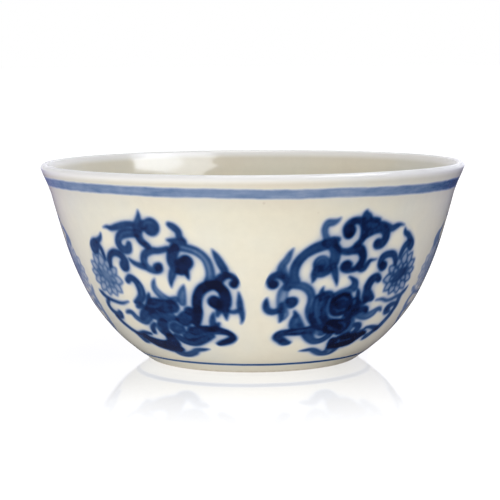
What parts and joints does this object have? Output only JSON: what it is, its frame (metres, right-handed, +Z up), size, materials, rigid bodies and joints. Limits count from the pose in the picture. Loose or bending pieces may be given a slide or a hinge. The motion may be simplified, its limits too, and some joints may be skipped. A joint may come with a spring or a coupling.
{
  "type": "teacup",
  "caption": "Small handleless porcelain teacup with a gently flared lip and recessed base, painted in underglaze blue with a rim band, foot line and round medallions.",
  "frame": {"origin": "centre of the plane that the foot rim rests on", "axes": "+Z up along the cup's axis, out of its mouth; -Y is the front, where the gap between two medallions is"},
  "size_m": [0.085, 0.085, 0.0396],
  "materials": {
    "porcelain": "matt biscuit, bare only at the foot rim",
    "glaze": "gloss",
    "cobalt_band": "gloss, thin brushed wash",
    "cobalt_painting": "gloss, dark outlines over graded washes"
  },
  "bodies": {
    "root": {"porcelain_body": "porcelain", "glaze_coat": "glaze", "base_glaze": "glaze", "rim_band": "cobalt_band", "foot_line": "cobalt_band", "medallion_1": "cobalt_painting", "medallion_2": "cobalt_painting", "medallion_3": "cobalt_painting", "medallion_4": "cobalt_painting", "medallion_5": "cobalt_painting", "medallion_6": "cobalt_painting"}
  },
  "joints": []
}
